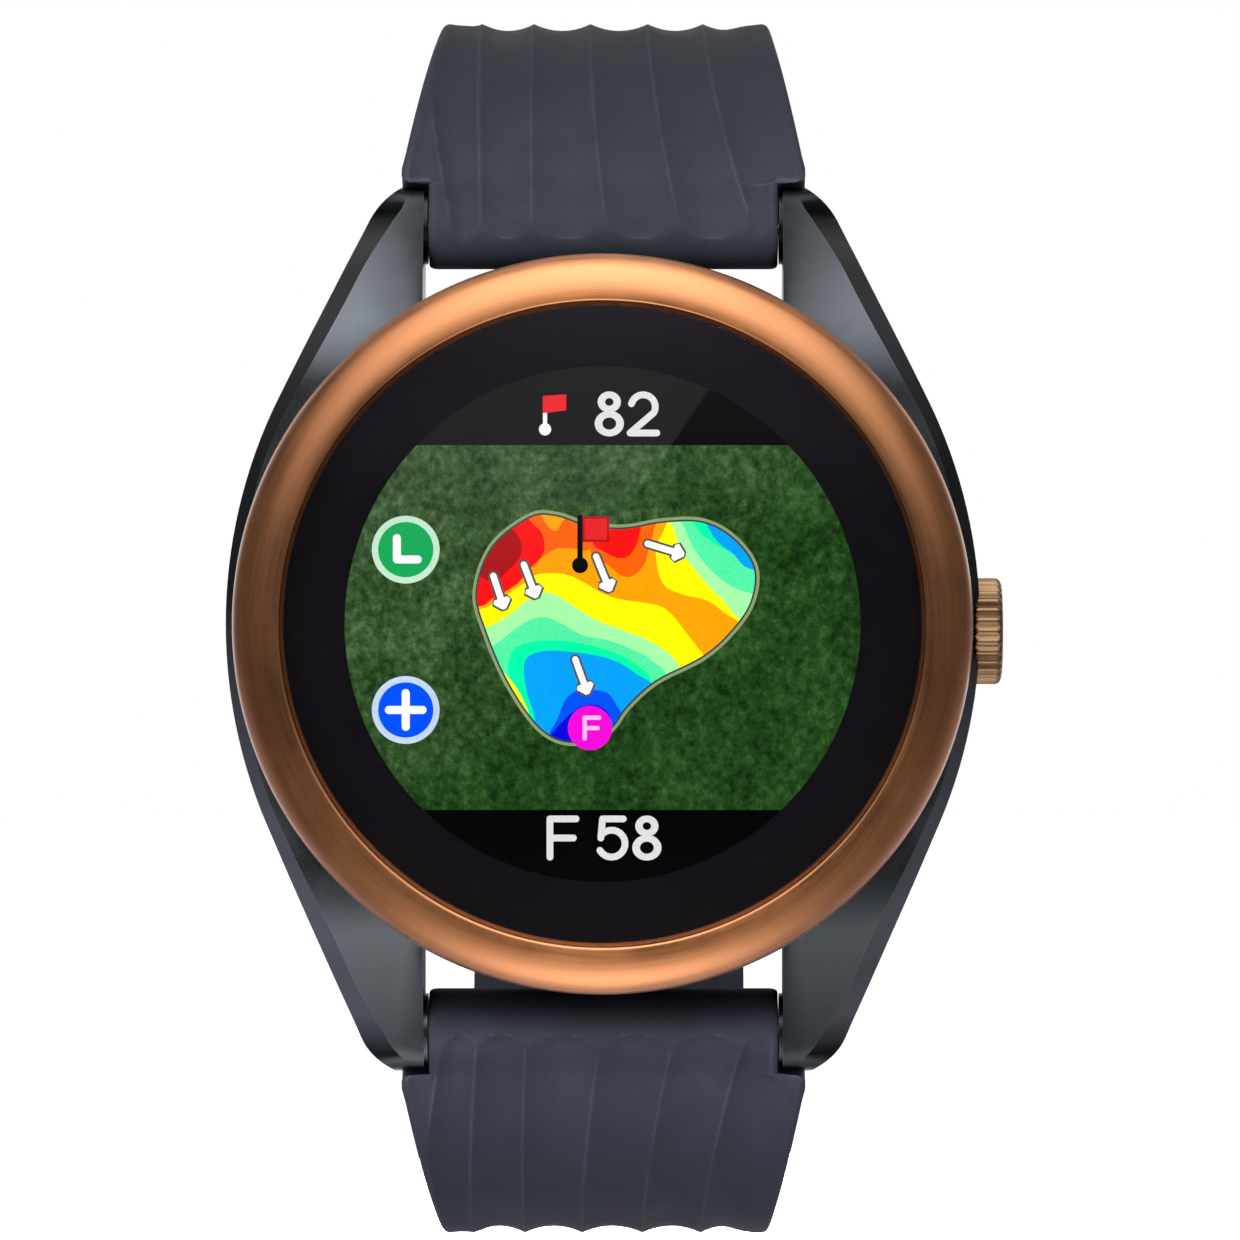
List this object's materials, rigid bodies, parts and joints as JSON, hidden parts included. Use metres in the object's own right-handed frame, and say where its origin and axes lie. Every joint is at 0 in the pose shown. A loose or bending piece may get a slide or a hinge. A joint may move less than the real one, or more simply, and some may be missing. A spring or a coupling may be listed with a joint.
{
  "type": "golf gps watch",
  "caption": "Round golf GPS watch with copper bezel ring, colour course map display, side crown button and fluted rubber strap on spring bars with tongue buckle.",
  "frame": {"origin": "centre of the case back's flat wrist face", "axes": "+Z towards 12 o'clock, +X towards 3 o'clock and the crown button, -Y out of the display, +Y out of the case back towards the wrist"},
  "size_m": [0.0486, 0.0929, 0.0808],
  "materials": {
    "case_metal": "gunmetal anodised, satin with polished edge bevels",
    "ring_copper": "rose-gold coated, fine satin sheen with a polished inner lip",
    "crown_copper": "brassy copper coating, knurled",
    "cover_glass": "clear flat glass with a faint purple coating",
    "mask_ink": "black printed border under the glass",
    "screen": "colour display, a golf green map between two black bands",
    "clear_film": "clear and white optical film",
    "flex_film": "amber polyimide ribbon",
    "frame_plastic": "black moulded plastic",
    "board": "green solder mask with copper tracks",
    "chip": "black moulded package",
    "ceramic": "unglazed ceramic with a silvered top",
    "battery_foil": "silver laminate pouch",
    "steel": "bright turned steel",
    "back_steel": "circular brushed steel",
    "screw_steel": "bright, slotted",
    "gold_plate": "gold plated",
    "seal_rubber": "black moulded seal",
    "strap_rubber": "charcoal blue rubber, soft satin, moulded flutes",
    "keeper_rubber": "charcoal rubber, satin",
    "buckle_steel": "dark gunmetal steel, satin"
  },
  "bodies": {
    "case": {"mid_case": "case_metal", "bezel_ring": "ring_copper", "cover_glass": "cover_glass", "glass_gasket": "seal_rubber", "border_mask": "mask_ink", "touch_sensor": "clear_film", "display_panel": "screen", "backlight_unit": "clear_film", "display_flex_cable": "flex_film", "inner_frame": "frame_plastic", "main_board": "board", "processor_chip": "chip", "memory_chip": "chip", "gps_receiver": "chip", "shield_can": "steel", "gps_antenna": "ceramic", "battery": "battery_foil", "motor_can": "steel", "buzzer": "frame_plastic", "case_back": "back_steel", "case_back_gasket": "seal_rubber", "case_back_screw_1": "screw_steel", "case_back_screw_2": "screw_steel", "case_back_screw_3": "screw_steel", "case_back_screw_4": "screw_steel", "contact_block": "frame_plastic", "charge_contact_1": "gold_plate", "charge_contact_2": "gold_plate", "charge_contact_3": "gold_plate", "charge_contact_4": "gold_plate", "crown_tube": "steel", "crown_seal": "seal_rubber", "switch_body": "frame_plastic", "upper_bar_tube": "steel", "upper_bar_spring": "steel", "lower_bar_tube": "steel", "lower_bar_spring": "steel"},
    "motor_rotor": {"motor_rotor": "steel"},
    "crown_slider": {"stem_clip": "steel"},
    "crown": {"crown_knob": "crown_copper", "crown_stem": "steel"},
    "switch_plunger": {"switch_plunger": "gold_plate"},
    "upper_pin_left": {"upper_bar_pin_left": "steel"},
    "upper_pin_right": {"upper_bar_pin_right": "steel"},
    "lower_pin_left": {"lower_bar_pin_left": "steel"},
    "lower_pin_right": {"lower_bar_pin_right": "steel"},
    "upper_strap": {"strap_upper": "strap_rubber", "fixed_keeper": "keeper_rubber", "buckle_bar": "steel"},
    "lower_strap": {"strap_lower": "strap_rubber"},
    "free_keeper": {"free_keeper": "keeper_rubber"},
    "buckle": {"buckle_frame": "buckle_steel"},
    "tongue": {"buckle_tongue": "buckle_steel"}
  },
  "joints": [
    {"name": "upper_strap_pivot", "type": "hinge", "parent": "case", "child": "upper_strap", "pos_m": [0, -0.0034, 0.025], "axis": [-1, 0, 0], "range_deg": [-40, 7]},
    {"name": "lower_strap_pivot", "type": "hinge", "parent": "case", "child": "lower_strap", "pos_m": [0, -0.0034, -0.0256], "axis": [1, 0, 0], "range_deg": [-40, 7]},
    {"name": "buckle_pivot", "type": "hinge", "parent": "upper_strap", "child": "buckle", "pos_m": [0, 0.06523, 0.03337], "axis": [1, 0, 0], "range_deg": [-40, 40]},
    {"name": "tongue_pivot", "type": "hinge", "parent": "buckle", "child": "tongue", "pos_m": [0, 0.06523, 0.03337], "axis": [1, 0, 0], "range_deg": [0, 80]},
    {"name": "free_keeper_slide", "type": "slide", "parent": "upper_strap", "child": "free_keeper", "axis": [0, 0.9945, -0.1048], "range_m": [-0.018, 0.004]},
    {"name": "crown_press", "type": "slide", "parent": "case", "child": "crown_slider", "axis": [-1, 0, 0], "range_m": [0, 0.0005], "stiffness_N_per_m": 1200},
    {"name": "crown_turn", "type": "hinge", "parent": "crown_slider", "child": "crown", "pos_m": [0.024, -0.0052, -0.00045], "axis": [1, 0, 0], "continuous": true},
    {"name": "switch_plunger_slide", "type": "slide", "parent": "case", "child": "switch_plunger", "axis": [-1, 0, 0], "range_m": [0, 0.0005]},
    {"name": "motor_rotor_spin", "type": "hinge", "parent": "case", "child": "motor_rotor", "pos_m": [-0.013, -0.0043, 0], "axis": [0, 0, 1], "continuous": true},
    {"name": "upper_pin_left_press", "type": "slide", "parent": "case", "child": "upper_pin_left", "axis": [1, 0, 0], "range_m": [0, 0.0012], "stiffness_N_per_m": 400},
    {"name": "upper_pin_right_press", "type": "slide", "parent": "case", "child": "upper_pin_right", "axis": [-1, 0, 0], "range_m": [0, 0.0012], "stiffness_N_per_m": 400},
    {"name": "lower_pin_left_press", "type": "slide", "parent": "case", "child": "lower_pin_left", "axis": [1, 0, 0], "range_m": [0, 0.0012], "stiffness_N_per_m": 400},
    {"name": "lower_pin_right_press", "type": "slide", "parent": "case", "child": "lower_pin_right", "axis": [-1, 0, 0], "range_m": [0, 0.0012], "stiffness_N_per_m": 400}
  ],
  "couplings": [
    {"joint": "switch_plunger_slide", "follows": "crown_press", "ratio": 1}
  ]
}
